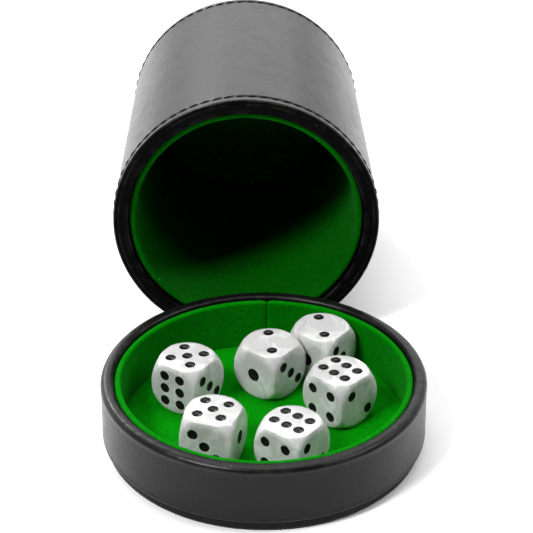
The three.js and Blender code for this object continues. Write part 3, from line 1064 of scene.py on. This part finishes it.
# %% Dice: match the CAD die's turn
def twenty_four_turns():
    """All turns of a cube onto itself, as 3x3 matrices."""
    turns = []
    for axes in ((0, 1, 2), (0, 2, 1), (1, 0, 2), (1, 2, 0), (2, 0, 1), (2, 1, 0)):
        for signs in np.ndindex(2, 2, 2):
            turn = np.zeros((3, 3))
            for row, (axis, sign) in enumerate(zip(axes, signs)):
                turn[row, axis] = 1 - 2 * sign
            if np.linalg.det(turn) > 0:
                turns.append(turn)
    return turns


def square_to(points):
    """Turn about Z that squares a die's side faces to X and Y: its box is smallest there."""
    best = None
    for step in range(180):
        angle = math.radians(step * 0.5)
        spin = np.array([[math.cos(angle), math.sin(angle)], [-math.sin(angle), math.cos(angle)]])
        flat = points[:, :2] @ spin.T
        size = np.ptp(flat, axis=0).sum()
        if best is None or size < best[0]:
            best = (size, angle)
    return best[1]


def lie_of(node):
    """Place of a CAD die: the matrix that takes our die to it."""
    points = np.array([v.co for v in frame["nodes"][node].data.vertices]) / MM
    middle = (points.min(0) + points.max(0)) / 2
    points = points - middle
    angle = square_to(points)
    c, s = math.cos(angle), math.sin(angle)
    to_world = np.array([[c, -s, 0], [s, c, 0], [0, 0, 1]])
    squared = points @ to_world
    inside = squared[np.abs(squared).max(1) < DIE / 2 - 0.4]
    hollow = inside[np.linalg.norm(inside, axis=1) < BALL - 0.6]
    bottoms = np.array([c * (1 - b / np.linalg.norm(c)) for c, b in pip_balls()])

    def misfit(turn):
        gaps = np.linalg.norm(hollow[:, None] - (bottoms @ turn.T)[None], axis=2)
        return gaps.min(1).sum()

    turn = min(twenty_four_turns(), key=misfit)
    place = Matrix((to_world @ turn).tolist()).to_4x4()
    return Matrix.Translation(Vector(middle * MM)) @ place


# %% Dice: set them down
for number in range(1, 7):
    node = f"die_{number}"
    mesh = die_mesh.copy()
    mesh.name = f"pearl_die_{number}"
    stir = mesh.attributes.new("stir", "FLOAT_VECTOR", "POINT")
    offset = (0.031 * number, 0.047 * number, 0.019 * number)
    stir.data.foreach_set("vector", offset * len(mesh.vertices))
    die = bpy.data.objects.new(f"pearl_die_{number}", mesh)
    bpy.context.collection.objects.link(die)
    die.matrix_world = lie_of(node)
    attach(die, node)
    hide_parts(node)
    print(die.name, "at", [round(x / MM, 1) for x in die.location])

# %% [markdown]
# ## Table, light and camera
#
# The set stands on a plain white table. A key light from the front left gives the shape. A
# broad panel behind draws the reflection along the top of the cup, and a small lamp beside it
# adds a glint. A panel above and a fill from the right lift the shadows, and the world is
# brightest behind the set. The camera looks down at about thirty degrees with a long lens.

# %% Table
work = bmesh.new()
bmesh.ops.create_grid(work, x_segments=8, y_segments=8, size=4.0)
mesh = bpy.data.meshes.new("table")
work.to_mesh(mesh)
work.free()
table = bpy.data.objects.new("table", mesh)
bpy.context.collection.objects.link(table)
table_white, tree, shader, place = start_material("table_white", "")
tree.links.new(blend_colours(tree, noise_of(tree, place, 3.0), (0.88, 0.88, 0.88),
                             (0.91, 0.91, 0.91)), shader.inputs["Base Color"])
shader.inputs["Roughness"].default_value = 0.85
shader.inputs["Specular IOR Level"].default_value = 0.1
mesh.materials.append(table_white)


# %% Lights
def panel(name, place, aim, size, watts):
    lamp = bpy.data.lights.new(name, "AREA")
    lamp.shape, lamp.size, lamp.size_y, lamp.energy = "RECTANGLE", *size, watts
    holder = bpy.data.objects.new(name, lamp)
    bpy.context.collection.objects.link(holder)
    holder.location = place
    holder.rotation_euler = (Vector(aim) - Vector(place)).to_track_quat("-Z", "Y").to_euler()


panel("key", (-0.62, -0.55, 1.0), (0, 0.0, 0), (0.3, 0.3), 16)
panel("back_panel", (-0.5, 1.2, 0.72), (0, 0.1, 0.03), (2.5, 0.75), 7)
panel("glint", (-0.45, 1.0, 0.78), (0, 0.0, 0.02), (0.28, 0.28), 5.5)
panel("top", (0.0, 0.2, 1.5), (0, 0.1, 0), (0.8, 0.6), 7)
panel("fill", (0.72, -0.12, 0.75), (0, 0, 0.02), (0.5, 0.5), 4)

world = bpy.data.worlds.new("studio")
world.use_nodes = True
tree = world.node_tree
way = add_node(tree, "ShaderNodeSeparateXYZ")
tree.links.new(add_node(tree, "ShaderNodeTexCoord").outputs["Generated"], way.inputs[0])
behind = math_node(tree, "MULTIPLY_ADD", way.outputs["Z"], 0.4, way.outputs["Y"])
FRONT_GLOW, BACK_GLOW = 0.04, 1.4
back_wall = ramp(tree, behind, 0.0, 0.8, FRONT_GLOW, BACK_GLOW)
tree.links.new(back_wall, tree.nodes["Background"].inputs["Strength"])
tree.nodes["Background"].inputs["Color"].default_value = (1, 1, 1, 1)
bpy.context.scene.world = world
bpy.context.scene.view_settings.view_transform = "Standard"

# %% Camera
ELEVATION, AZIMUTH, DISTANCE = math.radians(30.17), math.radians(0.65), 0.656
AIM = Vector((0.0015, 0.0625, 0.022))
LENS = 138.5
look = Vector((math.sin(AZIMUTH) * math.cos(ELEVATION), math.cos(AZIMUTH) * math.cos(ELEVATION),
               -math.sin(ELEVATION)))
camera = bpy.data.objects.new("camera", bpy.data.cameras.new("camera"))
camera.data.lens, camera.data.sensor_width = LENS, 36.0
camera.data.clip_start, camera.data.clip_end = 0.01, 50
camera.location = AIM - look * DISTANCE
camera.rotation_euler = look.to_track_quat("-Z", "Y").to_euler()
bpy.context.collection.objects.link(camera)
bpy.context.scene.camera = camera
